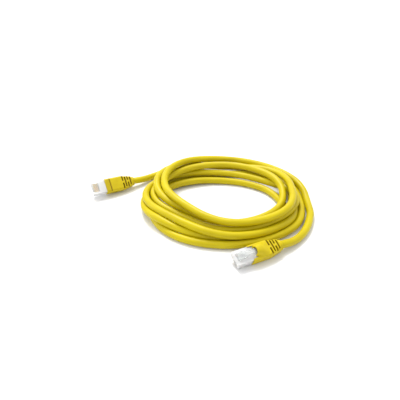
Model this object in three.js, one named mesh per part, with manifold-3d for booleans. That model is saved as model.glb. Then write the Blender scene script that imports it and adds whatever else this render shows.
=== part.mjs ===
// Ethernet patch cable: a long cord wound into a loose oval coil, with a clear modular plug in a
// snagless moulded boot on each end. Millimetres, +Z up, standing on the plane z = 0.
import * as THREE from 'three';
import { mergeVertices } from 'three/addons/utils/BufferGeometryUtils.js';
import Module from 'manifold-3d';

const wasm = await Module();
wasm.setup();

// ---- driving dimensions ----

const cableDiameter = 6.3;
const clearance = 0.25;                 // between a piece and what it sits in
const meetGap = 0.3;                    // between cord solids, and between a cord and its boot
const cordLeadOut = 1.5;                // straight out of a boot's collar before the cord bends
const wireCount = 8;
const wirePitch = 1.016;

// Plug housing. A plug's own frame: x from the nose along the cable, y across, z to the latch side,
// and the cable's axis on y = z = 0.
const housingLength = 21.5;
const housingWidth = 11.68;
const housingHeight = 6.6;
const noseChamfer = 0.6;
const noseWall = 1.25;
const contactSlotWidth = 0.56;
const contactSlotLength = 6.0;

// Wires and the load bar that holds them in order
const wireStagger = 0.5;                // alternate wires lie this far above and below the axis
const wireDiameter = 0.92;
const wireEndGap = 0.35;                // between a wire's end and the nose wall
const chamberSideRoom = 0.43;           // beside the outer wires
const chamberFaceRoom = 0.19;           // above and below the wires
const loadBarSetback = 1.3;             // behind the contact slots
const loadBarLength = 5.1;
const loadBarWall = 0.4;                // round its rows of holes
const wireHoleRoom = 0.09;
const loadBarToJacket = 0.9;
const jacketPressedWide = 1.3;          // the jacket's end is pressed flat: its width and height
const jacketPressedFlat = 0.73;         // there as shares of the cable's diameter

// Gold contact blades
const bladeThickness = 0.3;
const bladeRecess = 0.35;               // below the housing's contact face
const bladeNoseX = 0.9;
const bladeLength = 4.4;
const bladeToWireGap = 0.1;
const bladeNoseRound = 0.7;
const bladeBackCorner = 0.6;
const bladeShoulder = 1.4;              // length of the step down to the nose
const bladeShoulderDrop = 0.7;

// Latch
const latchBaseWidth = 6.0;
const latchBaseLength = 7.2;
const latchLeverWidth = 3.2;
const latchThickness = 0.95;
const latchRootX = 1.0;
const latchTailInHood = 1.3;
const latchTailRise = 2.7;              // of the lever's underside above the housing
const latchRootFlat = 1.2;              // level part at the root, before the lever leans away
const latchRootSlope = 0.1;

// Boot
const bootLength = 28.0;
const bootOverHousing = 9.2;
const bootSideWall = 0.91;
const bootFaceWall = 0.95;
const bootCornerRadius = 1.9;
const collarLength = 2.3;
const collarWall = 1.1;
const bootTaperLength = 10.5;
const bootTaperShoulder = 0.35;         // each side of the collar, where the taper ends
const scoopLength = 4.3;
const scoopSideArm = 1.45;
const hoodSetback = 1.9;                // behind the boot's front
const hoodLength = 13.8;
const hoodSideWall = 1.0;
const hoodWall = 0.85;
const tunnelSideRoom = 1.4;             // beside the latch's lever
const tunnelHeadroom = 0.6;             // above the latch's tail
const tunnelPastTail = 4.5;
// The hood's back seen from the side: [share of its length, share of its rise]
const hoodBackOutline = [
  [0.6, 0.62],
  [0.3, 0.95],
  [0.08, 1.02],
  [0, 0.88],
];
const slotRows = 4;
const firstSlotSetback = 1.7;           // of the first row's middle behind the start of the taper
const slotPitch = 2.35;
const slotWidth = 1.0;
const slotDepth = 1.5;
const slotBridge = 2.0;                 // left standing in the middle of the bridged rows
const slotEdgeWall = 1.3;               // left standing at the sides of the odd rows
const slotOpenWall = 0.5;               // left standing at the sides of the bridged rows

// What follows from those sizes
const faceZ = housingHeight / 2;
const wireRowWidth = (wireCount - 1) * wirePitch;
const wireStart = noseWall + wireEndGap;
const chamberWidth = wireRowWidth + wireDiameter + 2 * chamberSideRoom;
const chamberHeight = 2 * wireStagger + wireDiameter + 2 * chamberFaceRoom;
const wireHoleDiameter = wireDiameter + 2 * wireHoleRoom;
const loadBarStart = contactSlotLength + loadBarSetback;
const loadBarEnd = loadBarStart + loadBarLength;
const loadBarWidth = wireRowWidth + wireHoleDiameter + 2 * loadBarWall;
const loadBarHeight = 2 * wireStagger + wireHoleDiameter + 2 * loadBarWall;
const jacketStart = loadBarEnd + loadBarToJacket;
const jacketFlatWidth = jacketPressedWide * cableDiameter;
const jacketFlatHeight = jacketPressedFlat * cableDiameter;
const bootFrontX = housingLength - bootOverHousing;
const bootEndX = bootFrontX + bootLength;
const bootWidth = housingWidth + 2 * bootSideWall;
const bootHeight = housingHeight + 2 * bootFaceWall;
const collarDiameter = cableDiameter + 2 * collarWall;
const bootTaperEndX = bootEndX - collarLength;
const bootTaperX = bootTaperEndX - bootTaperLength;
const bootTaperEndWidth = collarDiameter + 2 * bootTaperShoulder;
const hoodFrontX = bootFrontX + hoodSetback;
const latchTailX = hoodFrontX + latchTailInHood;
const latchTailTop = faceZ + latchTailRise + latchThickness;
const tunnelTop = latchTailTop + tunnelHeadroom;
const tunnelWidth = latchLeverWidth + 2 * tunnelSideRoom;
const hoodWidth = tunnelWidth + 2 * hoodSideWall;
const hoodCrown = tunnelTop + hoodWall;

// Where the plugs lie: the end of the boot's collar, the heading from nose to cable, how far the
// nose is lifted and the roll about the cable. Plug A has rolled onto its boot's hood and one edge,
// plug B leans on the lower edge of its boot.
const plugAPose = { end: [-88.6, 28.6, 6.4], heading: 29.5, noseLift: 4, roll: 222 };
const plugBRoll = 20;
const plugBLean = plugBRoll * Math.PI / 180;
const plugBHeight = 0.05 + bootCornerRadius
  + (bootHeight / 2 - bootCornerRadius) * Math.cos(plugBLean)
  + (bootWidth / 2 - bootCornerRadius) * Math.sin(plugBLean);
const plugBPose = { end: [37.8, -63.8, plugBHeight], heading: 24.9, noseLift: 0, roll: plugBRoll };

// The cord outside its coil, from each boot's collar to the coil
const tailARoute = [
  [-84.6, 30.9, 5.8],
  [-79.3, 34.6, 4.9],
  [-73.4, 39.8, 4.0],
  [-67.2, 45.3, 3.4],
  [-60.0, 50.9, 3.17],
  [-51.6, 55.7, 3.17],
  [-42.5, 59.3, 3.17],
  [-33.0, 61.9, 3.17],
];
const tailBRoute = [
  [42.1, -61.7, 5.3],
  [47.5, -58.4, 4.2],
  [52.9, -54.0, 3.4],
  [58.2, -48.3, 3.17],
  [62.8, -41.5, 3.17],
  [66.4, -33.8, 3.17],
  [69.1, -25.8, 3.17],
  [71.0, -17.4, 3.17],
];
const tubeSides = 12;
const tubeSteps = 12;

// The coil as one oval ring round all of its turns, higher on the side of plug A
const coilOuter = { centre: [0, 5.5], radii: [78.6, 65.5] };
const coilInner = { centre: [-1.5, 0], radii: [49.5, 32.5] };
const coilHighSide = 23.0;
const coilLowSide = 17.6;
const coilHighShare = 0.4;              // of the outer radius, where the top starts to slope down
const coilCurveSegments = 40;

// ---- solids ----

function solidOf(geometry) {
  const bare = geometry.clone();
  bare.deleteAttribute('normal');
  bare.deleteAttribute('uv');
  const merged = mergeVertices(bare, 1e-4);
  return new wasm.Manifold(new wasm.Mesh({
    numProp: 3,
    vertProperties: new Float32Array(merged.attributes.position.array),
    triVerts: new Uint32Array(merged.index.array),
  }));
}

function geometryOf(solid) {
  const mesh = solid.getMesh();
  const geometry = new THREE.BufferGeometry();
  geometry.setAttribute('position', new THREE.BufferAttribute(mesh.vertProperties, 3));
  geometry.setIndex(new THREE.BufferAttribute(mesh.triVerts, 1));
  geometry.computeVertexNormals();
  return geometry;
}

function box(x0, x1, width, z0, z1, yMiddle = 0) {
  const geometry = new THREE.BoxGeometry(x1 - x0, width, z1 - z0);
  geometry.translate((x0 + x1) / 2, yMiddle, (z0 + z1) / 2);
  return geometry;
}

// A side outline, given as [x, z] points, carried across the plug
function sideOutline(points, width, yMiddle = 0) {
  const shape = new THREE.Shape(points.map(([x, z]) => new THREE.Vector2(x, z)));
  const geometry = new THREE.ExtrudeGeometry(shape, { depth: width, bevelEnabled: false });
  geometry.translate(0, 0, -width / 2);
  geometry.rotateX(Math.PI / 2);
  geometry.translate(0, yMiddle, 0);
  return geometry;
}

// A plan outline, given as [x, half width] points from front to back, carried up the plug
function planOutline(halves, height) {
  const near = halves.map(([x, half]) => new THREE.Vector2(x, -half));
  const far = halves.map(([x, half]) => new THREE.Vector2(x, half)).reverse();
  const shape = new THREE.Shape([...near, ...far]);
  const geometry = new THREE.ExtrudeGeometry(shape, { depth: height, bevelEnabled: false });
  geometry.translate(0, 0, -height / 2);
  return geometry;
}

// A cross-section, drawn in y and z, carried along the plug from x0 to x1
const alongPlug = new THREE.Matrix4().makeBasis(
  new THREE.Vector3(0, 1, 0),
  new THREE.Vector3(0, 0, 1),
  new THREE.Vector3(1, 0, 0),
);

function sectionAlong(shape, x0, x1, curveSegments = 6) {
  const geometry = new THREE.ExtrudeGeometry(shape, { depth: x1 - x0, bevelEnabled: false, curveSegments });
  geometry.applyMatrix4(alongPlug);
  geometry.translate(x0, 0, 0);
  return geometry;
}

function roundedRectangle(width, height, radius) {
  const w = width / 2;
  const h = height / 2;
  const shape = new THREE.Shape();
  shape.moveTo(-w + radius, -h);
  shape.lineTo(w - radius, -h);
  shape.absarc(w - radius, -h + radius, radius, -Math.PI / 2, 0, false);
  shape.lineTo(w, h - radius);
  shape.absarc(w - radius, h - radius, radius, 0, Math.PI / 2, false);
  shape.lineTo(-w + radius, h);
  shape.absarc(-w + radius, h - radius, radius, Math.PI / 2, Math.PI, false);
  shape.lineTo(-w, -h + radius);
  shape.absarc(-w + radius, -h + radius, radius, Math.PI, Math.PI * 1.5, false);
  return shape;
}

function ellipse(width, height) {
  const shape = new THREE.Shape();
  shape.absellipse(0, 0, width / 2, height / 2, 0, Math.PI * 2, false, 0);
  return shape;
}

// A rod along the plug
function rod(diameter, x0, x1, y = 0, z = 0, sides = 8) {
  const geometry = new THREE.CylinderGeometry(diameter / 2, diameter / 2, x1 - x0, sides);
  geometry.rotateZ(-Math.PI / 2);
  geometry.translate((x0 + x1) / 2, y, z);
  return geometry;
}

// ---- materials ----

const plastic = (color, roughness) => new THREE.MeshStandardMaterial({ color, roughness, metalness: 0 });
const jacketMaterial = plastic(0xe0c81e, 0.45);
const bootMaterial = plastic(0xe2c926, 0.5);
const clearMaterial = plastic(0xdfe5e4, 0.1);
const loadBarMaterial = plastic(0xe9ecec, 0.25);
const goldMaterial = new THREE.MeshStandardMaterial({ color: 0xd9a93a, roughness: 0.25, metalness: 1 });
const wireColours = [0xf0dcc0, 0xe07a1e, 0xd0e6cc, 0x2f5fb8, 0xcfdcf0, 0x2f8a46, 0xe0cfc0, 0x7a4a28];
const wireMaterials = wireColours.map((colour) => plastic(colour, 0.4));

function piece(name, geometry, material) {
  const mesh = new THREE.Mesh(geometry, material);
  mesh.name = name;
  return mesh;
}

// ---- plug pieces ----

const wireY = (index) => ((wireCount - 1) / 2 - index) * wirePitch;
const wireZ = (index) => (index % 2 ? wireStagger : -wireStagger);
const bladeTopZ = (index) => wireZ(index) - wireDiameter / 2 - bladeToWireGap;

function housing() {
  const outline = [
    [0, noseChamfer - faceZ],
    [noseChamfer, -faceZ],
    [housingLength, -faceZ],
    [housingLength, faceZ],
    [noseChamfer, faceZ],
    [0, faceZ - noseChamfer],
  ];
  let solid = solidOf(sideOutline(outline, housingWidth));
  const chamber = box(noseWall, loadBarStart, chamberWidth, -chamberHeight / 2, chamberHeight / 2);
  const barRoom = box(
    loadBarStart - clearance,
    jacketStart,
    loadBarWidth + 2 * clearance,
    -loadBarHeight / 2 - clearance,
    loadBarHeight / 2 + clearance,
  );
  const jacketRoom = sectionAlong(
    ellipse(jacketFlatWidth + 2 * clearance, jacketFlatHeight + 2 * clearance),
    loadBarEnd,
    housingLength + 1,
    5,
  );
  solid = solid.subtract(solidOf(chamber)).subtract(solidOf(barRoom)).subtract(solidOf(jacketRoom));
  for (let index = 0; index < wireCount; index += 1) {
    const top = bladeTopZ(index) + bladeToWireGap;
    const slot = box(-1, contactSlotLength, contactSlotWidth, -faceZ - 1, top, wireY(index));
    solid = solid.subtract(solidOf(slot));
  }
  return geometryOf(solid);
}

// A blade: a flat plate whose corner at the nose is rounded, with its edge up against the wire
function contactBlade(index) {
  const bottom = bladeRecess - faceZ;
  const top = bladeTopZ(index);
  const back = bladeNoseX + bladeLength;
  const roundMiddle = bladeNoseRound * (1 - Math.SQRT1_2);
  const outline = [
    [bladeNoseX, bottom + bladeNoseRound],
    [bladeNoseX + roundMiddle, bottom + roundMiddle],
    [bladeNoseX + bladeNoseRound, bottom],
    [back, bottom],
    [back, top - bladeBackCorner],
    [back - bladeBackCorner, top],
    [bladeNoseX + bladeShoulder, top],
    [bladeNoseX, top - bladeShoulderDrop],
  ];
  return sideOutline(outline, bladeThickness, wireY(index));
}

function wire(index) {
  return rod(wireDiameter, wireStart, jacketStart - meetGap, wireY(index), wireZ(index));
}

function loadBar() {
  const block = box(loadBarStart, loadBarEnd, loadBarWidth, -loadBarHeight / 2, loadBarHeight / 2);
  let solid = solidOf(block);
  for (let index = 0; index < wireCount; index += 1) {
    const hole = rod(wireHoleDiameter, loadBarStart - 1, loadBarEnd + 1, wireY(index), wireZ(index));
    solid = solid.subtract(solidOf(hole));
  }
  return geometryOf(solid);
}

// The jacket inside the plug: pressed flat in the housing, round through the boot. The flat and the
// round stretch change over inside the clearance behind the housing.
function jacketEnd() {
  const flatEnd = housingLength + 0.8 * clearance;
  const roundStart = housingLength + 0.2 * clearance;
  const flat = sectionAlong(ellipse(jacketFlatWidth, jacketFlatHeight), jacketStart, flatEnd, 5);
  const round = rod(cableDiameter, roundStart, bootEndX, 0, 0, tubeSides);
  return geometryOf(solidOf(flat).add(solidOf(round)));
}

// A lever that leans away from the housing, with a wide base that carries the locking shoulders
function latch() {
  const root = faceZ + clearance;
  const lever = [
    [latchRootX, root],
    [latchRootX + latchRootFlat, root],
    [latchTailX, faceZ + latchTailRise],
    [latchTailX, latchTailTop],
    [latchRootX + latchRootFlat, root + latchThickness + latchRootSlope],
    [latchRootX, root + latchThickness - latchRootSlope],
  ];
  const shoulderEnd = latchRootX + latchBaseLength;
  const narrow = solidOf(sideOutline(lever, latchLeverWidth));
  const wide = solidOf(sideOutline(lever, latchBaseWidth));
  const baseOnly = solidOf(box(0, shoulderEnd, latchBaseWidth + 1, 0, latchTailTop + 1));
  return geometryOf(narrow.add(wide.intersect(baseOnly)));
}

function bootSlots() {
  const cuts = [];
  const depthZ = bootHeight / 2 - slotDepth;
  for (let row = 0; row < slotRows; row += 1) {
    const pastTaperStart = firstSlotSetback + row * slotPitch;
    const x0 = bootTaperX + pastTaperStart - slotWidth / 2;
    const x1 = x0 + slotWidth;
    const share = Math.min(1, pastTaperStart / bootTaperLength);
    const width = bootWidth + (bootTaperEndWidth - bootWidth) * share;
    const halfSpan = (width - slotBridge) / 2 - slotOpenWall;
    const halfMiddle = (slotBridge + halfSpan) / 2;
    const spans = row % 2
      ? [[0, width - 2 * slotEdgeWall]]
      : [[-halfMiddle, halfSpan], [halfMiddle, halfSpan]];
    for (const [middle, span] of spans) {
      cuts.push(box(x0, x1, span, depthZ, bootHeight, middle));
      cuts.push(box(x0, x1, span, -bootHeight, -depthZ, middle));
    }
  }
  return cuts;
}

// The boot: a rounded sleeve that tapers to a collar, with a hood over the latch's tail
function boot() {
  const plan = planOutline([
    [bootFrontX, bootWidth / 2],
    [bootTaperX, bootWidth / 2],
    [bootTaperEndX, bootTaperEndWidth / 2],
  ], bootHeight + 1);
  const outline = roundedRectangle(bootWidth, bootHeight, bootCornerRadius);
  const section = sectionAlong(outline, bootFrontX, bootTaperEndX, 3);
  const collar = rod(collarDiameter, bootTaperEndX - 1, bootEndX, 0, 0, 20);
  let solid = solidOf(plan).intersect(solidOf(section)).add(solidOf(collar));

  const scoopWidth = bootWidth - 2 * scoopSideArm;
  const scoop = box(bootFrontX - 1, bootFrontX + scoopLength, scoopWidth, faceZ - 1, bootHeight);
  solid = solid.subtract(solidOf(scoop));

  const flatZ = bootHeight / 2;
  const hoodRise = hoodCrown - flatZ;
  const hoodEndX = hoodFrontX + hoodLength;
  const hoodRadius = hoodWidth / 2;
  const hoodBase = faceZ + clearance;
  const arch = new THREE.Shape();
  arch.moveTo(-hoodRadius, hoodBase);
  arch.lineTo(hoodRadius, hoodBase);
  arch.absarc(0, hoodCrown - hoodRadius, hoodRadius, 0, Math.PI, false);
  const hoodSide = sideOutline([
    [hoodFrontX, hoodBase - 1],
    [hoodEndX, hoodBase - 1],
    [hoodEndX, flatZ - clearance],
    ...hoodBackOutline.map(([along, rise]) => [hoodFrontX + along * hoodLength, flatZ + rise * hoodRise]),
  ], hoodWidth + 1);
  const hood = solidOf(sectionAlong(arch, hoodFrontX, hoodEndX, 8)).intersect(solidOf(hoodSide));
  solid = solid.add(hood);

  const tunnelRadius = tunnelWidth / 2;
  const tunnelShape = new THREE.Shape();
  tunnelShape.moveTo(-tunnelRadius, faceZ - 1);
  tunnelShape.lineTo(tunnelRadius, faceZ - 1);
  tunnelShape.absarc(0, tunnelTop - tunnelRadius, tunnelRadius, 0, Math.PI, false);
  const tunnel = sectionAlong(tunnelShape, hoodFrontX - 1, latchTailX + tunnelPastTail, 6);
  const sleeve = box(
    bootFrontX - 1,
    housingLength + clearance,
    housingWidth + 2 * clearance,
    -faceZ - clearance,
    faceZ + clearance,
  );
  const bore = rod(cableDiameter + 2 * clearance, housingLength, bootEndX + 1, 0, 0, tubeSides);
  solid = solid.subtract(solidOf(tunnel)).subtract(solidOf(sleeve)).subtract(solidOf(bore));
  for (const cut of bootSlots()) solid = solid.subtract(solidOf(cut));
  return geometryOf(solid);
}

// A whole plug in its own frame, stood where it lies
function plug(name, pose) {
  const group = new THREE.Group();
  group.add(piece(`${name}_housing`, housing(), clearMaterial));
  group.add(piece(`${name}_latch`, latch(), clearMaterial));
  group.add(piece(`${name}_load_bar`, loadBar(), loadBarMaterial));
  group.add(piece(`${name}_boot`, boot(), bootMaterial));
  group.add(piece(`${name}_jacket_end`, jacketEnd(), jacketMaterial));
  for (let index = 0; index < wireCount; index += 1) {
    group.add(piece(`${name}_contact_${index + 1}`, contactBlade(index), goldMaterial));
    group.add(piece(`${name}_wire_${index + 1}`, wire(index), wireMaterials[index]));
  }
  const turn = new THREE.Matrix4()
    .makeRotationZ(THREE.MathUtils.degToRad(pose.heading))
    .multiply(new THREE.Matrix4().makeRotationY(THREE.MathUtils.degToRad(pose.noseLift)))
    .multiply(new THREE.Matrix4().makeRotationX(THREE.MathUtils.degToRad(pose.roll)));
  group.setRotationFromMatrix(turn);
  const collarEnd = new THREE.Vector3(bootEndX, 0, 0).applyMatrix4(turn);
  group.position.set(...pose.end).sub(collarEnd);
  return group;
}

// The direction in which the cable leaves a plug's collar
function leaving(pose) {
  const heading = THREE.MathUtils.degToRad(pose.heading);
  const lift = THREE.MathUtils.degToRad(pose.noseLift);
  return new THREE.Vector3(
    Math.cos(lift) * Math.cos(heading),
    Math.cos(lift) * Math.sin(heading),
    -Math.sin(lift),
  );
}

// ---- cord ----

function tailCurve(pose, route) {
  const first = new THREE.Vector3(...pose.end).addScaledVector(leaving(pose), meetGap);
  const second = first.clone().addScaledVector(leaving(pose), cordLeadOut);
  return new THREE.CatmullRomCurve3([first, second, ...route.map((point) => new THREE.Vector3(...point))]);
}

function tube(curve, diameter) {
  const shape = ellipse(diameter, diameter);
  return new THREE.ExtrudeGeometry(shape, {
    extrudePath: curve,
    steps: tubeSteps,
    curveSegments: tubeSides / 2,
    bevelEnabled: false,
  });
}

function ovalPath(target, oval) {
  target.absellipse(...oval.centre, ...oval.radii, 0, Math.PI * 2, false, 0);
  return target;
}

function coil(tails) {
  const shape = ovalPath(new THREE.Shape(), coilOuter);
  shape.holes.push(ovalPath(new THREE.Path(), coilInner));
  const ring = new THREE.ExtrudeGeometry(shape, {
    depth: coilHighSide,
    curveSegments: coilCurveSegments,
    bevelEnabled: false,
  });
  const reach = coilOuter.radii[0];
  const depth = 2 * (coilOuter.radii[1] + Math.abs(coilOuter.centre[1]) + 1);
  const slope = sideOutline([
    [-reach - 1, 0],
    [reach + 1, 0],
    [reach + 1, coilLowSide],
    [-reach * coilHighShare, coilHighSide],
    [-reach - 1, coilHighSide],
  ], depth);
  let solid = solidOf(ring).intersect(solidOf(slope));
  for (const tail of tails) {
    const end = tail.getPoint(1).addScaledVector(tail.getTangent(1), meetGap);
    const longer = new THREE.CatmullRomCurve3([...tail.points, end]);
    const room = solidOf(tube(longer, cableDiameter + 2 * meetGap));
    solid = solid.subtract(room);
  }
  return geometryOf(solid);
}

// ---- the whole cable, centred over its own middle ----

const cable = new THREE.Group();
const tailA = tailCurve(plugAPose, tailARoute);
const tailB = tailCurve(plugBPose, tailBRoute);
cable.add(plug('plug_a', plugAPose));
cable.add(plug('plug_b', plugBPose));
cable.add(piece('jacket_tail_a', tube(tailA, cableDiameter), jacketMaterial));
cable.add(piece('jacket_tail_b', tube(tailB, cableDiameter), jacketMaterial));
cable.add(piece('cable_coil', coil([tailA, tailB]), jacketMaterial));
cable.updateMatrixWorld(true);
const extent = new THREE.Box3().setFromObject(cable, true);
const middle = extent.getCenter(new THREE.Vector3());
cable.position.set(-middle.x, -middle.y, -extent.min.z);
cable.updateMatrixWorld(true);

export default cable;
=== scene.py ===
import math

import bmesh
import bpy
import numpy as np
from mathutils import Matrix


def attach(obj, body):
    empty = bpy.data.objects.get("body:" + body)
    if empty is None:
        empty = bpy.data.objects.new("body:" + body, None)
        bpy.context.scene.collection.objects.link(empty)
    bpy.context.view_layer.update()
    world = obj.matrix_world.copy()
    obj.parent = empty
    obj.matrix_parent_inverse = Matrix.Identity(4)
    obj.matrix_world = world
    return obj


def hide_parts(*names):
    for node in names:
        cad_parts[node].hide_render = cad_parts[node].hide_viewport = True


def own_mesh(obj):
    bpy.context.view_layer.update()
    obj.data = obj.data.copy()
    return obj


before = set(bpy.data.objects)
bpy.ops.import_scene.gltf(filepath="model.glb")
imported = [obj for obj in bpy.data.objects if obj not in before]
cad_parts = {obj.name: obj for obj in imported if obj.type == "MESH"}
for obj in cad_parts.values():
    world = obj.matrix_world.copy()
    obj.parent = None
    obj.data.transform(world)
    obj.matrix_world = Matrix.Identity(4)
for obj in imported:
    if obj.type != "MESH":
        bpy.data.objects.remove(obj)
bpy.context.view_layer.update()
mm = 0.001
mergeReach = 2e-6   # metres: nearer points of a mesh become one

# The coil is drawn about its own middle and then moved to its place, in millimetres.
coilShift = np.array([23.951, 7.791, 0.0])

# Where each plug lies: the end of its boot, its heading, how far the nose is lifted and its roll.
plugLay = {
    "a": {"end": (-88.6, 28.6, 6.4), "heading": 29.5, "noseLift": 4, "roll": 222},
    "b": {"end": (37.8, -63.8, 5.817), "heading": 24.9, "noseLift": 0, "roll": 20},
}
bootEnd = 40.3   # from the nose to the end of the boot


def plugAxes(side):
    # Turn about the cable, then lift the nose, then head off over the floor.
    lay = plugLay[side]
    heading, lift, roll = (math.radians(lay[k]) for k in ("heading", "noseLift", "roll"))
    turn = np.array([
        [math.cos(heading), -math.sin(heading), 0],
        [math.sin(heading), math.cos(heading), 0],
        [0, 0, 1],
    ])
    tip = np.array([
        [math.cos(lift), 0, math.sin(lift)],
        [0, 1, 0],
        [-math.sin(lift), 0, math.cos(lift)],
    ])
    spin = np.array([
        [1, 0, 0],
        [0, math.cos(roll), -math.sin(roll)],
        [0, math.sin(roll), math.cos(roll)],
    ])
    axes = turn @ tip @ spin
    return axes, np.array(lay["end"]) + coilShift - axes @ np.array([bootEnd, 0, 0])


def toPart(side, local):
    # Points in a plug's own frame, in millimetres, to the part's frame in metres.
    axes, nose = plugAxes(side)
    return (np.asarray(local, float) @ axes.T + nose) * mm


def gridFaces(rows, columns):
    # Quads between neighbours on a grid whose columns close on themselves.
    here = np.arange(rows - 1)[:, None] * columns
    ahead = here + columns
    column = np.arange(columns)[None, :]
    beside = (column + 1) % columns
    return np.stack([here + column, ahead + column, ahead + beside, here + beside], -1).reshape(-1, 4)


def gridUv(alongRows, columns):
    # Along the piece in metres, and once round it from 0 to 1.
    u = np.asarray(alongRows, float)
    around = np.arange(columns + 1) / columns
    low, high = u[:-1, None], u[1:, None]
    left, right = around[None, :-1], around[None, 1:]
    zero = np.zeros((len(u) - 1, columns))
    corners = [low, left, high, left, high, right, low, right]
    return np.stack([corner + zero for corner in corners], -1).reshape(-1)


def makePiece(name, points, faces, material, uv, sharpAngle, paintedShade=None):
    # Doubles are merged, faces turned outwards, and only edges sharper than the angle stay sharp.
    mesh = bpy.data.meshes.new(name)
    mesh.from_pydata(points.tolist(), [], faces.tolist())
    if uv is not None:
        mesh.uv_layers.new(name="UVMap").data.foreach_set("uv", uv.astype(np.float32))
    # a point attribute that carries painted shade, which the boot material mixes in as a dark colour
    if paintedShade is not None:
        darkness = mesh.attributes.new("paintedShade", "FLOAT", "POINT")
        darkness.data.foreach_set("value", paintedShade.astype(np.float32))
    work = bmesh.new()
    work.from_mesh(mesh)
    bmesh.ops.remove_doubles(work, verts=work.verts, dist=mergeReach)
    bmesh.ops.recalc_face_normals(work, faces=work.faces)
    work.to_mesh(mesh)
    work.free()
    mesh.polygons.foreach_set("use_smooth", np.ones(len(mesh.polygons), bool))
    mesh.set_sharp_from_angle(angle=math.radians(sharpAngle))
    mesh.materials.append(material)
    piece = bpy.data.objects.new(name, mesh)
    bpy.context.scene.collection.objects.link(piece)
    return piece


def catmull(points, count):
    # A smooth curve through the points, count steps to a span: each span is the Catmull-Rom cubic.
    points = np.asarray(points, float)
    padded = np.vstack([2 * points[0] - points[1], points, 2 * points[-1] - points[-2]])
    span = np.arange(len(points) - 1).repeat(count)
    t = np.tile(np.arange(count) / count, len(points) - 1)[:, None]
    a, b, c, d = padded[span], padded[span + 1], padded[span + 2], padded[span + 3]
    square, cube = 2 * a - 5 * b + 4 * c - d, 3 * b - a - 3 * c + d
    curve = 0.5 * (2 * b + (c - a) * t + square * t**2 + cube * t**3)
    return np.vstack([curve, points[-1]])


def evenly(points, step):
    # The same line cut into equal lengths.
    run = np.r_[0, np.cumsum(np.linalg.norm(np.diff(points, axis=0), axis=1))]
    places = np.linspace(0, run[-1], int(round(run[-1] / step)) + 1)
    return np.column_stack([np.interp(places, run, points[:, axis]) for axis in range(3)])


def lineLength(points):
    return float(np.linalg.norm(np.diff(points, axis=0), axis=1).sum())


def newMaterial(name, settings):
    material = bpy.data.materials.new(name)
    material.use_nodes = True
    shader = material.node_tree.nodes["Principled BSDF"]
    for socket, value in settings.items():
        shader.inputs[socket].default_value = value
    return material, material.node_tree, shader


def addNode(tree, kind, settings=None, **properties):
    node = tree.nodes.new(kind)
    for key, value in properties.items():
        setattr(node, key, value)
    for socket, value in (settings or {}).items():
        node.inputs[socket].default_value = value
    return node


def objectNoise(tree, scale, detail=3, roughness=0.5):
    coordinates = addNode(tree, "ShaderNodeTexCoord")
    settings = {"Scale": scale, "Detail": detail, "Roughness": roughness}
    noise = addNode(tree, "ShaderNodeTexNoise", settings)
    tree.links.new(coordinates.outputs["Object"], noise.inputs["Vector"])
    return noise.outputs["Fac"]


def between(tree, value, lowIn, highIn, lowOut, highOut):
    limits = {"From Min": lowIn, "From Max": highIn, "To Min": lowOut, "To Max": highOut}
    mapped = addNode(tree, "ShaderNodeMapRange", limits)
    tree.links.new(value, mapped.inputs["Value"])
    return mapped.outputs["Result"]


def mixColours(tree, factor, first, second):
    mix = addNode(tree, "ShaderNodeMix", data_type="RGBA")
    mix.inputs["A"].default_value = (*first, 1)
    mix.inputs["B"].default_value = (*second, 1)
    tree.links.new(factor, mix.inputs["Factor"])
    return mix.outputs["Result"]


def bumpFrom(tree, height, distance, strength=1.0, under=None):
    bump = addNode(tree, "ShaderNodeBump", {"Distance": distance, "Strength": strength})
    tree.links.new(height, bump.inputs["Height"])
    if under is not None:
        tree.links.new(under, bump.inputs["Normal"])
    return bump.outputs["Normal"]


jacketLook = {
    "colour": (0.545, 0.445, 0.0012), "deep": (0.47, 0.375, 0.001),
    "pairLay": 0.021, "pairRelief": 0.00006, "dragRelief": 0.00003, "grainRelief": 0.000012,
    "dragLines": (60, 26, 1),   # to a metre along, and once round
}


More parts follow.
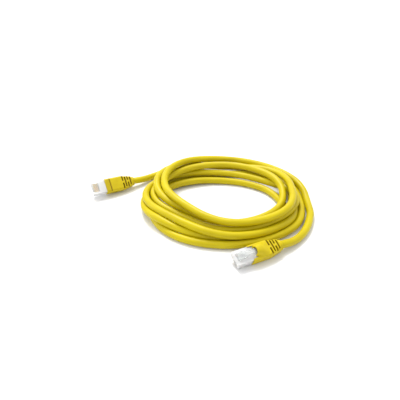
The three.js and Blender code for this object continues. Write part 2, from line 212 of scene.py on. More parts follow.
def jacketMaterial():
    # Extruded jacket: fine drag lines along it, the pairs inside just showing as a long twist, and
    # patches where it has been handled.
    material, tree, shader = newMaterial("yellowJacket", {
        "Specular IOR Level": 0.2, "Coat Weight": 0.03, "Coat Roughness": 0.3,
        "Subsurface Weight": 0.05, "Subsurface Scale": 0.0012, "Subsurface Radius": (1.0, 0.7, 0.1),
    })
    patches = between(tree, objectNoise(tree, 38, 4), 0.35, 0.7, 0, 1)
    colour = mixColours(tree, patches, jacketLook["colour"], jacketLook["deep"])
    tree.links.new(colour, shader.inputs["Base Color"])
    uv = addNode(tree, "ShaderNodeUVMap", uv_map="UVMap")
    split = addNode(tree, "ShaderNodeSeparateXYZ")
    tree.links.new(uv.outputs["UV"], split.inputs["Vector"])
    # four ridges round the jacket, turning once in each lay: the sine of 2 pi (4 around - 4 along / lay)
    around = addNode(tree, "ShaderNodeMath", operation="MULTIPLY")
    around.inputs[1].default_value = 4 * 2 * math.pi
    tree.links.new(split.outputs["Y"], around.inputs[0])
    along = addNode(tree, "ShaderNodeMath", operation="MULTIPLY")
    along.inputs[1].default_value = 2 * math.pi / jacketLook["pairLay"]
    tree.links.new(split.outputs["X"], along.inputs[0])
    phase = addNode(tree, "ShaderNodeMath", operation="SUBTRACT")
    tree.links.new(around.outputs[0], phase.inputs[0])
    tree.links.new(along.outputs[0], phase.inputs[1])
    ridge = addNode(tree, "ShaderNodeMath", operation="SINE")
    tree.links.new(phase.outputs[0], ridge.inputs[0])
    # drag lines: noise that is long along the jacket and short round it
    stretch = addNode(tree, "ShaderNodeMapping")
    stretch.inputs["Scale"].default_value = jacketLook["dragLines"]
    tree.links.new(uv.outputs["UV"], stretch.inputs["Vector"])
    drag = addNode(tree, "ShaderNodeTexNoise", {"Scale": 1.0, "Detail": 3, "Roughness": 0.6})
    tree.links.new(stretch.outputs["Vector"], drag.inputs["Vector"])
    grain = objectNoise(tree, 5200, 2)
    twist = bumpFrom(tree, ridge.outputs[0], jacketLook["pairRelief"], 0.5)
    lines = bumpFrom(tree, drag.outputs["Fac"], jacketLook["dragRelief"], 0.6, twist)
    tree.links.new(bumpFrom(tree, grain, jacketLook["grainRelief"], 0.6, lines), shader.inputs["Normal"])
    roughness = between(tree, objectNoise(tree, 120, 4), 0.3, 0.75, 0.34, 0.5)
    tree.links.new(roughness, shader.inputs["Roughness"])
    return material


bootLook = {
    # the last colour is painted shade, mixed in by a point attribute on slot floors, the groove, the
    # sloped band and under the hood
    "colour": (0.55, 0.435, 0.003), "deep": (0.48, 0.37, 0.002), "paintedShade": (0.19, 0.115, 0.001),
    "waveRelief": 0.00008, "grainRelief": 0.00002,
}


def bootMaterial():
    # Soft moulded plastic with a fine grain from its mould and duller where it is handled; painted shade
    # darkens its narrow cuts, its groove, its sloped band and the inside of its hood.
    material, tree, shader = newMaterial("yellowBoot", {
        "Specular IOR Level": 0.22,
        "Subsurface Weight": 0.08, "Subsurface Scale": 0.0012, "Subsurface Radius": (1.0, 0.7, 0.1),
    })
    patches = between(tree, objectNoise(tree, 160, 4), 0.35, 0.7, 0, 1)
    body = mixColours(tree, patches, bootLook["colour"], bootLook["deep"])
    # painted shade: a point attribute mixes a dark colour into the boot's own
    paintedShade = addNode(tree, "ShaderNodeAttribute", attribute_name="paintedShade")
    shaded = addNode(tree, "ShaderNodeMix", data_type="RGBA")
    shaded.inputs["B"].default_value = (*bootLook["paintedShade"], 1)
    tree.links.new(paintedShade.outputs["Fac"], shaded.inputs["Factor"])
    tree.links.new(body, shaded.inputs["A"])
    tree.links.new(shaded.outputs["Result"], shader.inputs["Base Color"])
    pits = objectNoise(tree, 4200, 2, 0.7)
    waves = bumpFrom(tree, objectNoise(tree, 300, 2), bootLook["waveRelief"], 0.25)
    tree.links.new(bumpFrom(tree, pits, bootLook["grainRelief"], 0.8, waves), shader.inputs["Normal"])
    roughness = between(tree, objectNoise(tree, 420, 4), 0.3, 0.7, 0.42, 0.56)
    tree.links.new(roughness, shader.inputs["Roughness"])
    return material


def clearMaterial(name, tint, roughness, passes):
    # Moulded polycarbonate: clear, a trace of flow in the surface and hairline scuffs in its gloss.
    material, tree, shader = newMaterial(name, {"IOR": 1.46, "Transmission Weight": passes})
    shaded = tuple(part * 0.97 for part in tint)
    colour = mixColours(tree, objectNoise(tree, 250, 2), tint, shaded)
    tree.links.new(colour, shader.inputs["Base Color"])
    tree.links.new(bumpFrom(tree, objectNoise(tree, 420, 2), 0.00004, 0.25), shader.inputs["Normal"])
    scuffs = between(tree, objectNoise(tree, 900, 5, 0.7), 0.4, 0.75, roughness, roughness + 0.1)
    tree.links.new(scuffs, shader.inputs["Roughness"])
    return material


def goldMaterial():
    # Gold flash over nickel, brushed by the stamping and by the sockets it has been in.
    material, tree, shader = newMaterial("goldBlade", {"Metallic": 1.0})
    colour = mixColours(tree, objectNoise(tree, 700, 3), (0.98, 0.76, 0.33), (0.86, 0.6, 0.2))
    tree.links.new(colour, shader.inputs["Base Color"])
    roughness = between(tree, objectNoise(tree, 2600, 4), 0.3, 0.7, 0.16, 0.36)
    tree.links.new(roughness, shader.inputs["Roughness"])
    tree.links.new(bumpFrom(tree, objectNoise(tree, 6000, 2), 0.00001, 0.4), shader.inputs["Normal"])
    return material


def copperMaterial():
    material, tree, shader = newMaterial("bareCopper", {"Metallic": 1.0})
    colour = mixColours(tree, objectNoise(tree, 3000, 2), (0.78, 0.36, 0.2), (0.6, 0.24, 0.12))
    tree.links.new(colour, shader.inputs["Base Color"])
    roughness = between(tree, objectNoise(tree, 5000, 2), 0.3, 0.7, 0.25, 0.45)
    tree.links.new(roughness, shader.inputs["Roughness"])
    return material


def wireMaterial(name, ground, stripe):
    # Polyethylene insulation, with a stripe that winds round the paler wire of each pair: coloured where
    # the part after the point of (90 along + once round) is small.
    material, tree, shader = newMaterial(name, {
        "Specular IOR Level": 0.45, "Subsurface Weight": 0.05, "Subsurface Scale": 0.0005,
    })
    uv = addNode(tree, "ShaderNodeUVMap", uv_map="UVMap")
    split = addNode(tree, "ShaderNodeSeparateXYZ")
    tree.links.new(uv.outputs["UV"], split.inputs["Vector"])
    slope = addNode(tree, "ShaderNodeMath", operation="MULTIPLY_ADD")
    slope.inputs[1].default_value = 90
    tree.links.new(split.outputs["X"], slope.inputs[0])
    tree.links.new(split.outputs["Y"], slope.inputs[2])
    part = addNode(tree, "ShaderNodeMath", operation="FRACT")
    tree.links.new(slope.outputs[0], part.inputs[0])
    edge = between(tree, part.outputs[0], 0.27, 0.31, 1, 0)
    tree.links.new(mixColours(tree, edge, ground, stripe), shader.inputs["Base Color"])
    roughness = between(tree, objectNoise(tree, 1800, 3), 0.3, 0.7, 0.3, 0.45)
    tree.links.new(roughness, shader.inputs["Roughness"])
    tree.links.new(bumpFrom(tree, objectNoise(tree, 4000, 2), 0.00001, 0.4), shader.inputs["Normal"])
    return material


yellowJacket = jacketMaterial()
yellowBoot = bootMaterial()
clearShell = clearMaterial("clearShell", (1.0, 1.0, 0.995), 0.03, 0.5)
clearLatch = clearMaterial("clearLatch", (0.95, 0.97, 0.96), 0.05, 0.88)
milkyBar = clearMaterial("milkyBar", (0.93, 0.95, 0.95), 0.22, 0.6)
goldBlade = goldMaterial()
bareCopper = copperMaterial()
print("materials made")

studio = {
    "cameraPlace": (-0.00005, -0.27321, 0.1982), "cameraTilt": 55.3, "lens": 33.75, "sensor": 36,
    "floorSize": 12, "floorDrop": 0.00005,
    "floorTint": (0.8, 0.8, 0.8), "floorPatch": (0.785, 0.785, 0.79),
    # each panel's place, its size and its watts; they aim at the middle
    "overheadPanel": ((-0.1, 0.2, 0.6), (0.45, 0.3), 1.6),
    "leftPanel": ((-0.6, 0.05, 0.35), (0.3, 0.4), 0.9),
    # from above and behind, a little to the left, as broad as a skylight
    "skylight": 1.95, "skylightBreadth": 16, "skylightTurn": (-32, -10),
    "room": 1.0,
}

camera = bpy.data.objects.new("studioCamera", bpy.data.cameras.new("studioCamera"))
camera.data.lens = studio["lens"]
camera.data.sensor_width = studio["sensor"]
camera.data.clip_start = 0.005
camera.location = studio["cameraPlace"]
camera.rotation_euler = (math.radians(studio["cameraTilt"]), 0, 0)
bpy.context.scene.collection.objects.link(camera)
bpy.context.scene.camera = camera


def floorMaterial():
    material, tree, shader = newMaterial("paleFloor", {"Specular IOR Level": 0.2})
    tint = mixColours(tree, objectNoise(tree, 12, 3), studio["floorTint"], studio["floorPatch"])
    tree.links.new(tint, shader.inputs["Base Color"])
    roughness = between(tree, objectNoise(tree, 60, 3), 0.3, 0.7, 0.55, 0.65)
    tree.links.new(roughness, shader.inputs["Roughness"])
    return material


def makeFloor():
    half, low = studio["floorSize"] / 2, -studio["floorDrop"]
    corners = [(-half, -half, low), (half, -half, low), (half, half, low), (-half, half, low)]
    mesh = bpy.data.meshes.new("studioFloor")
    mesh.from_pydata(corners, [], [(0, 1, 2, 3)])
    mesh.materials.append(floorMaterial())
    floor = bpy.data.objects.new("studioFloor", mesh)
    bpy.context.scene.collection.objects.link(floor)


def softBox(name):
    # A panel that faces the middle of the floor.
    place, size, watts = studio[name]
    data = bpy.data.lights.new(name, "AREA")
    data.shape = "RECTANGLE"
    data.size, data.size_y = size
    data.energy = watts
    lamp = bpy.data.objects.new(name, data)
    way = -np.array(place, float)
    flat = math.hypot(way[0], way[1])
    lamp.location = place
    lamp.rotation_euler = (math.atan2(flat, -way[2]), 0, math.atan2(way[1], way[0]) - math.pi / 2)
    bpy.context.scene.collection.objects.link(lamp)


makeFloor()
softBox("overheadPanel")
softBox("leftPanel")
skylight = bpy.data.objects.new("skylight", bpy.data.lights.new("skylight", "SUN"))
skylight.data.energy = studio["skylight"]
skylight.data.angle = math.radians(studio["skylightBreadth"])
skylight.rotation_euler = (*np.radians(studio["skylightTurn"]), 0)
bpy.context.scene.collection.objects.link(skylight)
world = bpy.data.worlds.new("studioRoom")
world.use_nodes = True
background = world.node_tree.nodes["Background"]
background.inputs["Color"].default_value = (1, 1, 1, 1)
background.inputs["Strength"].default_value = studio["room"]
bpy.context.scene.world = world
bpy.context.scene.view_settings.view_transform = "Standard"
print("camera, floor and lights placed")

cord = {
    "diameter": 6.3,
    "insideBoot": 4.0,        # how far back inside the boots it starts and ends
    "oval": (62, 47),         # half widths of the oval that the turns are measured from
    "firstStation": 135,      # degrees: where the table of turns starts, at the back left
    "joins": 106,             # degrees: where the table takes over from tail A's points
    "perEighth": 4,           # points to each eighth of a turn
    "routeStep": 2.0,
    "sides": 26,
    "ringStep": 1.1,
    "restGap": 0.06,          # between strands that touch
}
# The route from each boot to the coil, the same as in the part's source.
tailA = [
    (-84.6, 30.9, 5.8), (-79.3, 34.6, 4.9), (-73.4, 39.8, 4.0), (-67.2, 45.3, 3.4),
    (-60.0, 50.9, 3.17), (-51.6, 55.7, 3.17), (-42.5, 59.3, 3.17), (-33.0, 61.9, 3.17),
]
tailB = [
    (42.1, -61.7, 5.3), (47.5, -58.4, 4.2), (52.9, -54.0, 3.4), (58.2, -48.3, 3.17),
    (62.8, -41.5, 3.17), (66.4, -33.8, 3.17), (69.1, -25.8, 3.17), (71.0, -17.4, 3.17),
]
# Each turn, clockwise from the back left in eighths: how far out from the oval, and how high.
turns = [
    [(22, 3.1), (20.5, 3.1), (16, 3.1), (4, 3.1), (7.5, 3.1), (12, 3.1), (12.5, 3.1), (7, 3.1)],
    [(-6.5, 5), (-13, 3.1), (-15, 3.1), (-13, 3.1), (1, 3.1), (5.5, 3.1), (7.5, 4), (10.5, 3.3)],
    [(5, 3.1), (1, 3.1), (8, 3.1), (-2.5, 3.4), (5, 8.6), (9.3, 8.8), (5.5, 11), (11, 9.4)],
    [(2, 9), (-8, 9.3), (-10.5, 9), (0, 8.8), (2, 9.2), (3, 9), (-5, 10.5), (4, 12.8)],
    [(1, 14), (-1, 14.6), (-6, 14), (-11.6, 11), (-10, 8.8), (-9, 7), (-9, 12), (-0.5, 17)],
    [(6, 17), (5, 9.5), (5, 12.5), (-4.2, 15), (0, 14.3), (-0.8, 14.2), (-10, 17), (-6.8, 18)],
    [(6, 18.6), (14, 12.4), (13.0, 8.6), (9.2, 3.1)],
]


def coilPoints():
    # Turn by turn round the oval: out from it along its normal, smoothed to thirty-two points a turn.
    stations = [station for turn in turns for station in turn]
    fine = catmull(stations, cord["perEighth"])
    angle = np.radians(cord["firstStation"] - np.arange(len(fine)) * 45 / cord["perEighth"])
    kept = angle < np.radians(cord["joins"])
    fine, angle = fine[kept], angle[kept]
    wide, deep = cord["oval"]
    outward = np.column_stack([deep * np.cos(angle), wide * np.sin(angle)])
    outward /= np.linalg.norm(outward, axis=1)[:, None]
    plan = np.column_stack([wide * np.cos(angle), deep * np.sin(angle)]) + outward * fine[:, :1]
    return np.column_stack([plan, fine[:, 1]])


settling = {
    "steps": 400, "lateFrom": 0.8,       # the late steps only ease what is left
    "keep": 0.01, "lateKeep": 0.2,       # share of a strand's shift taken back, and of that share later
    "upright": 0.5,                      # of that share for its height
    "lean": 1.44,                        # forward, for each millimetre a strand is lifted
    "sink": 0.008, "lateSink": 0.002,    # millimetres each step
    "blur": 3, "lateBlur": 2,            # how many points away a shift is shared
    "hold": 9, "ease": 14,               # points held still at each end, and those coming free after
    "alongCord": 2.2, "across": 1.6,     # diameters: nearest that counts as another strand, and furthest
    "push": 1.4,
}


def pushApart(points, first, second, free):
    # Points nearer than the diameter and a gap move apart along the line between them, each by half of
    # what is missing, shared out where a point touches several others.
    clear = cord["diameter"] + cord["restGap"]
    gapLine = points[first] - points[second]
    distance = np.linalg.norm(gapLine, axis=1)
    close = distance < clear
    if not close.any():
        return points
    one, other = first[close], second[close]
    push = ((clear - distance[close]) / np.maximum(distance[close], 1e-6) / 2)[:, None] * gapLine[close]
    total, touches = np.zeros_like(points), np.zeros(len(points))
    np.add.at(total, one, push)
    np.add.at(total, other, -push)
    np.add.at(touches, one, 1)
    np.add.at(touches, other, 1)
    return points + free * total / np.maximum(1, touches)[:, None] * settling["push"]


def settle(route):
    # The strands sink and slide off each other until none is nearer than a diameter, while a smoothed
    # pull back to the drawn route keeps their curves and length. Lifted strands lean towards the front.
    thick = cord["diameter"]
    points, count = route.copy(), len(route)
    step = lineLength(route) / (count - 1)
    skip = int(math.ceil(settling["alongCord"] * thick / step))
    hold, ease = settling["hold"], settling["ease"]
    free = np.ones(count)
    free[:hold] = free[-hold:] = 0
    free[hold:hold + ease] = np.linspace(0, 1, ease)
    free[-hold - ease:-hold] = np.linspace(1, 0, ease)
    free = free[:, None]
    for sweep in range(settling["steps"]):
        late = sweep > settling["lateFrom"] * settling["steps"]
        if sweep % 10 == 0:
            small = points.astype(np.float32)
            apart = sum((small[:, None, axis] - small[None, :, axis]) ** 2 for axis in range(3))
            first, second = np.nonzero(np.triu(apart < (settling["across"] * thick) ** 2, skip))
        shift = points - route
        pull = settling["keep"] * (settling["lateKeep"] if late else 1)
        shift[:, 0] -= pull * shift[:, 0]
        shift[:, 1] -= pull * (shift[:, 1] + settling["lean"] * shift[:, 2])
        sink = settling["lateSink" if late else "sink"]
        shift[:, 2] -= settling["upright"] * pull * shift[:, 2] + sink
        reach = settling["lateBlur" if late else "blur"]
        for smoothing in range(2):
            blurred = shift.copy()
            beside = shift[:-2 * reach] + shift[2 * reach:]
            blurred[reach:-reach] = 0.5 * shift[reach:-reach] + 0.25 * beside
            shift = blurred
        points = route + shift * free
        for contact in range(3):
            points = pushApart(points, first, second, free)
            points[:, 2] = np.maximum(points[:, 2], thick / 2)
    return points


def cordRoute():
    # Out of boot A, through the turns, and back along tail B into boot B.
    collar = [[bootEnd - cord["insideBoot"], 0, 0], [bootEnd, 0, 0]]
    inside = {side: toPart(side, collar) / mm - coilShift for side in "ab"}
    drawn = np.vstack([inside["a"], tailA, coilPoints(), tailB[::-1], inside["b"][::-1]])
    settled = settle(evenly(catmull(drawn, 8), cord["routeStep"]))
    return evenly(catmull(settled, 4), cord["ringStep"])


def tubeRings(path, diameter, sides):
    # A circle carried along the path, each ring square to it, with its first direction level with the
    # floor.
    ahead = np.gradient(path, axis=0)
    ahead /= np.linalg.norm(ahead, axis=1)[:, None]
    level = np.cross(ahead, (0, 0, 1))
    level /= np.linalg.norm(level, axis=1)[:, None]
    up = np.cross(level, ahead)
    angle = np.arange(sides) * 2 * math.pi / sides
    radius = diameter / 2
    cosine, sine = np.cos(angle)[None, :, None], np.sin(angle)[None, :, None]
    return path[:, None] + radius * (cosine * level[:, None] + sine * up[:, None])


def makeCord():
    route = (cordRoute() + coilShift) * mm
    sides = cord["sides"]
    rings = tubeRings(route, cord["diameter"] * mm, sides)
    ends = [np.repeat(route[[end]], sides, 0)[None] for end in (0, -1)]
    grid = np.concatenate([ends[0], rings, ends[1]])
    run = np.r_[0, np.cumsum(np.linalg.norm(np.diff(route, axis=0), axis=1))]
    run = np.r_[0, run, run[-1]]
    faces, uv = gridFaces(len(grid), sides), gridUv(run, sides)
    piece = makePiece("patchCord", grid.reshape(-1, 3), faces, yellowJacket, uv, 60)
    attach(piece, "cable")
    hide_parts("jacket_tail_a", "jacket_tail_b", "cable_coil")
    return piece, route


patchCord, cordPath = makeCord()

boot = {
    "front": 12.3, "taper": 27.5, "taperEnd": 38.0, "end": bootEnd,
    "halfWidth": 6.75, "halfHeight": 4.25, "corner": 1.9,
    "taperHalfWidth": 4.9, "taperCorner": 3.0, "collarRadius": 4.25, "collarStep": 0.18,
    "insideHalfWidth": 6.09, "insideHalfHeight": 3.55, "insideEnd": 21.9, "bore": 3.22,
    "crown": 0.12, "crownFades": 34, "lip": 0.4,
    "scoopEnd": 16.6, "scoopHalf": 5.3, "tunnelEnd": 20.0, "tunnelHalf": 3.0,
    "bandEnd": 17.0, "bandDrop": 0.5, "grooveDepth": 0.42, "grooveHalf": 0.5,
    "groovePaintedShade": 0.9, "bandPaintedShade": 0.2,   # how strong the painted shade is on the groove and on the sloped band
    "columns": 300,
}
slots = {
    "rows": 4, "first": 29.2, "pitch": 2.35, "width": 1.2, "floor": 2.75,
    "bridge": 2.0, "edgeWall": 1.3, "openWall": 0.5, "soft": 0.07,
}


def rise(value, low, high):
    # Nothing below low, one above high, and an S curve between.
    t = np.clip((value - low) / (high - low), 0, 1)
    return t * t * (3 - 2 * t)


def roundedSection(halfWidth, halfHeight, corner, columns):
    # A rounded rectangle walked once round at an even pace, for each row's own sizes.
    halfWidth, halfHeight, corner = (
        np.atleast_1d(np.asarray(values, float))[:, None] for values in (halfWidth, halfHeight, corner)
    )
    flatY, flatZ = 2 * (halfWidth - corner), 2 * (halfHeight - corner)
    arc = corner * math.pi / 2
    lengths = np.concatenate([flatY / 2, arc, flatZ, arc, flatY, arc, flatZ, arc, flatY / 2], 1)
    stops = np.concatenate([np.zeros_like(flatY), np.cumsum(lengths, 1)], 1)
    place = (np.arange(columns)[None, :] + 0.5) / columns * stops[:, -1:]
    # first the straight stretches, by their start and direction, then the corners, by their middle
    inY, inZ = halfWidth - corner, halfHeight - corner
    y = np.zeros_like(place)
    z = np.zeros_like(place)
    straight = [
        (0, 0 * inY, halfHeight, 1, 0), (2, halfWidth, inZ, 0, -1), (4, inY, -halfHeight, -1, 0),
        (6, -halfWidth, -inZ, 0, 1), (8, -inY, halfHeight, 1, 0),
    ]
    for index, startY, startZ, goY, goZ in straight:
        begin, finish = stops[:, index:index + 1], stops[:, index + 1:index + 2]
        here = (place >= begin) & (place <= finish)
        y = np.where(here, startY + goY * (place - begin), y)
        z = np.where(here, startZ + goZ * (place - begin), z)
    turning = [(1, inY, inZ, 90), (3, inY, -inZ, 0), (5, -inY, -inZ, -90), (7, -inY, inZ, -180)]
    for index, middleY, middleZ, startAngle in turning:
        begin, finish = stops[:, index:index + 1], stops[:, index + 1:index + 2]
        here = (place >= begin) & (place <= finish)
        angle = math.radians(startAngle) - (place - begin) / np.maximum(corner, 1e-6)
        y = np.where(here, middleY + corner * np.cos(angle), y)
        z = np.where(here, middleZ + corner * np.sin(angle), z)
    return y, z


def bootOutside(x):
    # Half width, half height and corner radius of the outside at each place along the boot.
    end = boot["taperEnd"]
    taper = np.clip((x - boot["taper"]) / (end - boot["taper"]), 0, 1)
    ease = taper * taper * (3 - 2 * taper) * 0.35 + taper * 0.65
    collar = rise(x, end - 0.25, end + 0.2)
    halfWidth = boot["halfWidth"] + (boot["taperHalfWidth"] - boot["halfWidth"]) * ease
    halfWidth = halfWidth + (boot["collarRadius"] - halfWidth) * collar
    dip = rise(x, end - 0.5, end - 0.1) * (1 - rise(x, end + 0.1, end + 0.5))
    halfHeight = boot["halfHeight"] - boot["collarStep"] * dip
    corner = boot["corner"] + (boot["taperCorner"] - boot["corner"]) * ease
    corner = corner + (halfHeight - 0.02 - corner) * collar
    return halfWidth, halfHeight, np.minimum(corner, np.minimum(halfWidth, halfHeight) - 0.01)


def slotCut(x, y, halfWidth):
    # One inside a relief slot: a band along the boot times a span across it, in alternate patterns.
    cut = np.zeros_like(y)
    soft, bridge = slots["soft"], slots["bridge"] / 2
    out = np.abs(y)
    for row in range(slots["rows"]):
        middle = slots["first"] + row * slots["pitch"]
        near, far = middle - slots["width"] / 2, middle + slots["width"] / 2
        band = rise(x, near - soft, near + soft) * (1 - rise(x, far - soft, far + soft))
        reach = halfWidth - slots["edgeWall" if row % 2 else "openWall"]
        across = 1 - rise(out, reach - soft, reach + soft)
        if row % 2 == 0:
            across = across * rise(out, bridge - soft, bridge + soft)
        cut = np.maximum(cut, band * across)
    return cut


def bootPoints():
    # Rows run back along the outside from the lip to the collar, round the collar's end, forward
    # through the bore and the room for the plug, and out to the lip again, so the sleeve is one closed
    # skin. They lie close at the groove, the slots and the collar's step.
    columns = boot["columns"]
    outX = np.r_[
        boot["front"] + boot["lip"] * np.array([0, 0.134, 0.5, 1.0]),
        np.arange(13.1, boot["bandEnd"] - 0.7, 0.42),
        np.arange(boot["bandEnd"] - 0.6, boot["bandEnd"] + 0.7, 0.12),
        np.arange(18.0, boot["taper"] + 0.5, 0.5),
        np.arange(boot["taper"] + 0.6, boot["taperEnd"] - 0.5, 0.115),
        np.arange(boot["taperEnd"] - 0.45, boot["taperEnd"] + 0.6, 0.12),
        [39.1, 39.6],
    ]
    shrink = np.zeros(len(outX))
    shrink[:4] = boot["lip"] * np.array([1.0, 0.5, 0.134, 0.0]) * 0.6
    halfWidth, halfHeight, corner = bootOutside(outX)
    smaller = np.maximum(corner - shrink, 0.05)
    y, z = roundedSection(halfWidth - shrink, halfHeight - shrink, smaller, columns)
    x = np.repeat(outX[:, None], columns, 1)
    # a slight crown on the broad faces, gone by the collar
    crown = boot["crown"] * (1 - rise(x, boot["crownFades"], boot["taperEnd"])) * (np.abs(z) > 2.5)
    z = z + np.sign(z) * crown * (0.5 - (y / halfWidth[:, None]) ** 2)
    # the sloped band and the groove behind it on the contact side
    flat = rise(-z, 3.0, 3.8)
    upBand = np.clip((x - boot["front"]) / (boot["bandEnd"] - boot["front"]), 0, 1)
    z = z + flat * boot["bandDrop"] * (1 - upBand)
    groove = flat * np.exp(-((x - boot["bandEnd"]) / boot["grooveHalf"]) ** 4)
    z = z + boot["grooveDepth"] * groove
    # relief slots
    cut = slotCut(x, y, halfWidth[:, None])
    skin = np.sqrt(np.maximum((boot["bore"] + 0.1) ** 2 - y**2, 0))
    depth = np.maximum(slots["floor"], skin)
    z = np.where(np.abs(z) > depth, np.sign(z) * (np.abs(z) + cut * (depth - np.abs(z))), z)
    outside = np.stack([x, y, z], -1)
    # round the collar's end and back through the bore
    rim, bore, end = boot["collarRadius"], boot["bore"], boot["end"]
    endRadius = np.array([rim - 0.12, rim - 0.45, bore + 0.25, bore, bore, bore])
    endX = np.array([end - 0.2, end, end, end - 0.3, 31.0, boot["insideEnd"] + 0.6])
    ringY, ringZ = roundedSection(endRadius, endRadius, endRadius - 0.01, columns)
    back = np.stack([np.repeat(endX[:, None], columns, 1), ringY, ringZ], -1)
    # the room for the plug, from its step at the bore forward to the mouth
    inner = boot["insideEnd"]
    roomX = np.r_[inner, inner, np.linspace(inner - 0.3, boot["front"] + 0.25, 12), boot["front"]]
    growWidth = np.r_[-2.2, -0.1, np.zeros(12), 0.08]
    growHeight = np.r_[-0.25, growWidth[1:]]
    roomCorner = np.r_[2.0, np.full(14, 0.6)]
    roomY, roomZ = roundedSection(
        boot["insideHalfWidth"] + growWidth, boot["insideHalfHeight"] + growHeight, roomCorner, columns)
    room = np.stack([np.repeat(roomX[:, None], columns, 1), roomY, roomZ], -1)
    grid = np.concatenate([outside, back, room, outside[:1]])
    # the latch side's front edge stands back between the side arms, and further back under the hood
    y, z = grid[..., 1], grid[..., 2]
    top, out = rise(z, 2.1, 2.9), np.abs(y)
    scoop = top * (1 - rise(out, boot["scoopHalf"] - 0.55, boot["scoopHalf"] + 0.05))
    tunnel = top * (1 - rise(out, boot["tunnelHalf"] - 0.1, boot["tunnelHalf"] + 0.1))
    edge = boot["front"] + (boot["scoopEnd"] - boot["front"]) * scoop
    edge = edge + (boot["tunnelEnd"] - boot["scoopEnd"]) * tunnel
    limit = boot["insideEnd"] - 0.2
    x = grid[..., 0]
    share = np.clip((x - boot["front"]) / (limit - boot["front"]), 0, 1)
    grid[..., 0] = np.where(x < limit, edge + share * (limit - edge), x)
    # painted shade: all of a slot's floor, most of the groove, a little of the sloped band
    band = flat * (outside[..., 0] < boot["bandEnd"])
    shade = boot["groovePaintedShade"] * groove + boot["bandPaintedShade"] * band
    dark = np.zeros(grid.shape[:2])
    dark[:len(outX)] = np.maximum(cut * (np.abs(outside[..., 2]) > 2.2), shade)
    return grid, dark


def makeBoot(side):
    grid, dark = bootPoints()
    points, faces = toPart(side, grid.reshape(-1, 3)), gridFaces(*grid.shape[:2])
    piece = makePiece("boot_" + side, points, faces, yellowBoot, None, 50, dark.reshape(-1))
    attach(piece, "cable")
    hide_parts(f"plug_{side}_boot")
    return piece


hood = {
    "front": 15.3, "end": 28.0, "foot": 3.95, "crown": 8.35,
    "halfWidth": 4.0, "spread": 0.9,     # and how much wider it is by its end
    # the tunnel's shade entry is how strong the painted shade is on the hood's inner skin
    "tunnelEnd": 20.0, "tunnelHalf": 2.95, "tunnelTop": 7.5, "tunnelPaintedShade": 0.75,
    "profile": [(0.0, 0.93), (0.06, 1.0), (0.3, 0.96), (0.6, 0.66), (0.85, 0.25), (1.0, 0.0)],
    "squareness": 0.86,                  # 1 is half round, less is squarer
    "flare": 1.3, "lean": 1.5,
    "columns": 96,
    "keep": 0.62,                        # of its height, under a pressed latch
}


def hoodPoints():
    # A half-round arch carried back along the boot, out over it and back under it, higher in front than
    # behind.
    share = np.r_[
        0, 0.004, 0.012, 0.03, np.linspace(0.06, 0.40, 24), np.linspace(0.405, 0.45, 6),
        np.linspace(0.47, 1.0, 26),
    ]
    x = hood["front"] + share * (hood["end"] - hood["front"])
    outline = catmull(hood["profile"], 12)
    height = np.interp(share, outline[:, 0], outline[:, 1])
    full = hood["crown"] - hood["foot"]
    rimRound = np.interp(share, [0, 0.004, 0.012, 0.03], [0.0, 0.45, 0.8, 1.0])
    outHeight = full * height
    lastQuarter = np.clip((share - 0.75) / 0.25, 0, 1)
    outHalf = (hood["halfWidth"] + hood["spread"] * share) * np.sqrt(1 - 0.75 * lastQuarter**2)
    hollow = 1 - rise(x, hood["tunnelEnd"] - 0.15, hood["tunnelEnd"] + 0.15)
    inHeight = np.minimum((hood["tunnelTop"] - hood["foot"]) * hollow + 0.01, outHeight * 0.82)
    inHalf = hood["tunnelHalf"] * (0.15 + 0.85 * hollow) * np.where(outHalf < 3.4, 0.6, 1)
    half = hood["columns"] // 2
    angle = np.linspace(0, math.pi, half)
    cosine = np.sign(np.cos(angle)) * np.abs(np.cos(angle)) ** hood["squareness"]
    sine = np.abs(np.sin(angle)) ** hood["squareness"]
    # at the rim the outer and inner skins close on the line midway between them
    middleHeight, middleHalf = (outHeight + inHeight) / 2, (outHalf + inHalf) / 2
    outHeight = middleHeight + (outHeight - middleHeight) * rimRound
    outHalf = middleHalf + (outHalf - middleHalf) * rimRound
    inHeight = middleHeight + (inHeight - middleHeight) * rimRound
    inHalf = middleHalf + (inHalf - middleHalf) * rimRound
    along = x[:, None] + 0 * angle
    outer = np.stack([along, outHalf[:, None] * cosine, hood["foot"] + outHeight[:, None] * sine], -1)
    inner = np.stack([along, inHalf[:, None] * cosine, hood["foot"] + inHeight[:, None] * sine], -1)
    # the foot flares out into the boot in a hollow curve
    flare = hood["flare"] * (1 - sine) ** 3 * rise(share, 0.05, 0.4)[:, None]
    outer[..., 1] += np.sign(outer[..., 1]) * flare
    # its front leans back from the foot to the crown
    grid = np.concatenate([outer, inner[:, ::-1]], 1)
    upHood = np.clip((grid[..., 2] - hood["foot"]) / full, 0, 1)
    grid[..., 0] += hood["lean"] * upHood * np.clip(1 - share / 0.4, 0, 1)[:, None]
    closing = grid[-1:].copy()
    closing[..., 1:] = closing[..., 1:].mean(1, keepdims=True)
    # painted shade on the inner skin, coming in just behind the front edge
    dark = np.zeros((len(grid) + 1, grid.shape[1]))
    dark[:-1, half:] = hood["tunnelPaintedShade"] * rise(share, 0.01, 0.2)[:, None]
    return np.concatenate([grid, closing]), dark


def makeHood(side):
    grid, dark = hoodPoints()
    points, faces = toPart(side, grid.reshape(-1, 3)), gridFaces(*grid.shape[:2])
    piece = makePiece("hood_" + side, points, faces, yellowBoot, None, 50, dark.reshape(-1))
    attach(piece, "cable")
    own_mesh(piece)
    return piece


boots = {side: makeBoot(side) for side in "ab"}
hoods = {side: makeHood(side) for side in "ab"}
print("boots and hoods moulded")

mould = {"edge": 0.00014, "latchEdge": 0.00018, "barEdge": 0.00006, "sharp": 30}   # edges in metres


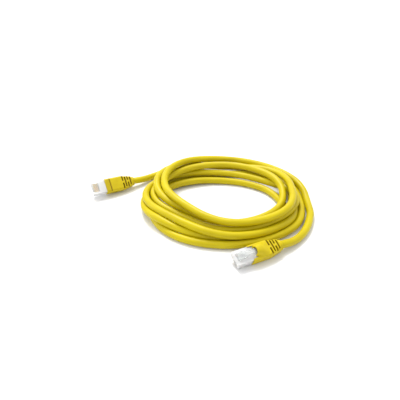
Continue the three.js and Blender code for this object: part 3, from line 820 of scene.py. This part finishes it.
def mergedCopy(name, node, body, material, edge):
    # A copy of a node with its loose triangles merged, flat faces joined and edges eased by a bevel.
    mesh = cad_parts[node].data.copy()
    work = bmesh.new()
    work.from_mesh(mesh)
    bmesh.ops.remove_doubles(work, verts=work.verts, dist=mergeReach)
    bmesh.ops.dissolve_limit(work, angle_limit=math.radians(1), verts=work.verts, edges=work.edges)
    bmesh.ops.recalc_face_normals(work, faces=work.faces)
    work.to_mesh(mesh)
    work.free()
    mesh.materials.clear()
    mesh.materials.append(material)
    piece = bpy.data.objects.new(name, mesh)
    bpy.context.scene.collection.objects.link(piece)
    mesh.polygons.foreach_set("use_smooth", np.ones(len(mesh.polygons), bool))
    mesh.set_sharp_from_angle(angle=math.radians(mould["sharp"]))
    bevel = piece.modifiers.new("easedEdges", "BEVEL")
    bevel.width = edge
    bevel.segments = 2
    bevel.limit_method = "ANGLE"
    bevel.angle_limit = math.radians(mould["sharp"])
    bevel.use_clamp_overlap = True
    bevel.harden_normals = False
    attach(piece, body)
    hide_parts(node)
    return piece


shells, latches, bars = {}, {}, {}
for side in "ab":
    plug = "plug_" + side
    shells[side] = mergedCopy(
        "shell_" + side, plug + "_housing", "cable", clearShell, mould["edge"])
    latches[side] = mergedCopy(
        "latchArm_" + side, plug + "_latch", "latch_" + side, clearLatch,
        mould["latchEdge"])
    bars[side] = mergedCopy(
        "loadBar_" + side, plug + "_load_bar", "cable", milkyBar, mould["barEdge"])
    for index in range(8):
        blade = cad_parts[f"plug_{side}_contact_{index + 1}"]
        blade.data.materials.clear()
        blade.data.materials.append(goldBlade)
print("plug shells and blades finished")

jacketEnd = {
    "start": 13.3, "flatHalf": (4.09, 2.3), "pressEnd": 19.2, "roundStart": 22.2,
    "end": bootEnd - cord["insideBoot"], "columns": 48,
}


def makeJacketEnd(side):
    # An ellipse pressed flat in the plug that swells back to the round cord. Its front edge is rounded
    # over and its face a little dished.
    start, pressEnd, roundStart = jacketEnd["start"], jacketEnd["pressEnd"], jacketEnd["roundStart"]
    x = np.r_[
        start + 0.35, start + 0.1, start, start + 0.06, start + 0.3,
        np.linspace(start + 1, pressEnd, 10), np.linspace(pressEnd + 0.2, roundStart, 14),
        np.linspace(roundStart + 0.6, jacketEnd["end"], 16), jacketEnd["end"],
    ]
    size = np.r_[0.0, 0.8, 0.86, 0.95, 0.995, np.ones(40), 0.0]
    swell = rise(x, pressEnd, roundStart)
    radius, columns = cord["diameter"] / 2, jacketEnd["columns"]
    flatY, flatZ = jacketEnd["flatHalf"]
    halfY = ((flatY + (radius - flatY) * swell) * size)[:, None]
    halfZ = ((flatZ + (radius - flatZ) * swell) * size)[:, None]
    angle = np.arange(columns) * 2 * math.pi / columns
    grid = np.stack([x[:, None] + 0 * angle, halfY * np.cos(angle), halfZ * np.sin(angle)], -1)
    run = np.r_[0, np.cumsum(np.abs(np.diff(x)))] * mm
    points = toPart(side, grid.reshape(-1, 3))
    faces, uv = gridFaces(len(grid), columns), gridUv(run, columns)
    piece = makePiece("jacketEnd_" + side, points, faces, yellowJacket, uv, 50)
    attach(piece, "cable")
    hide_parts(f"plug_{side}_jacket_end")
    return piece


white, orange, green = (0.86, 0.85, 0.82), (0.82, 0.22, 0.02), (0.03, 0.33, 0.07)
blue, brown = (0.03, 0.1, 0.52), (0.2, 0.08, 0.03)
# In order across the plug: each wire's slot, its ground and its stripe.
wireKinds = [
    ("wire_white_orange", white, orange), ("wire_orange", orange, orange),
    ("wire_white_green", white, green), ("wire_blue", blue, blue),
    ("wire_white_blue", white, blue), ("wire_green", green, green),
    ("wire_white_brown", white, brown), ("wire_brown", brown, brown),
]
wires = {
    "pitch": 1.016, "stagger": 0.5, "diameter": 0.92, "start": 1.6, "end": 13.0, "core": 0.26,
    "sides": 16,
}
insulation = [wireMaterial(name, ground, stripe) for name, ground, stripe in wireKinds]


def makeWire(side, index):
    # A rod with a bare copper core just showing at its cut end.
    y = (3.5 - index) * wires["pitch"]
    z = wires["stagger"] if index % 2 else -wires["stagger"]
    radius, core, sides = wires["diameter"] / 2, wires["core"], wires["sides"]
    start, end = wires["start"], wires["end"]
    x = np.r_[
        start, start, start + 0.02, start + 0.02, start + 0.08,
        np.linspace(start + 0.5, end - 0.1, 20), end, end,
    ]
    size = np.r_[0.0, core, core, radius * 0.93, radius, np.full(20, radius), radius * 0.9, 0.0][:, None]
    angle = np.arange(sides) * 2 * math.pi / sides
    grid = np.stack([x[:, None] + 0 * angle, y + size * np.cos(angle), z + size * np.sin(angle)], -1)
    run = np.r_[0, np.cumsum(np.abs(np.diff(x)))] * mm
    points = toPart(side, grid.reshape(-1, 3))
    faces, uv = gridFaces(len(grid), sides), gridUv(run, sides)
    name, slot = f"wire_{side}_{index + 1}", wireKinds[index][0]
    piece = makePiece(name, points, faces, insulation[index], uv, 45)
    piece.data.materials.append(bareCopper)
    cutEnd = toPart(side, [[start, y, z]])[0]
    centres = np.zeros(len(piece.data.polygons) * 3)
    piece.data.polygons.foreach_get("center", centres)
    near = np.linalg.norm(centres.reshape(-1, 3) - cutEnd, axis=1) < core * mm * 1.02
    piece.data.polygons.foreach_set("material_index", near.astype(np.int32))
    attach(piece, "cable")
    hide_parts(f"plug_{side}_wire_{index + 1}")
    return piece


jacketEnds = {side: makeJacketEnd(side) for side in "ab"}
plugWires = {side: [makeWire(side, index) for index in range(8)] for side in "ab"}
print("jacket ends and wires made")
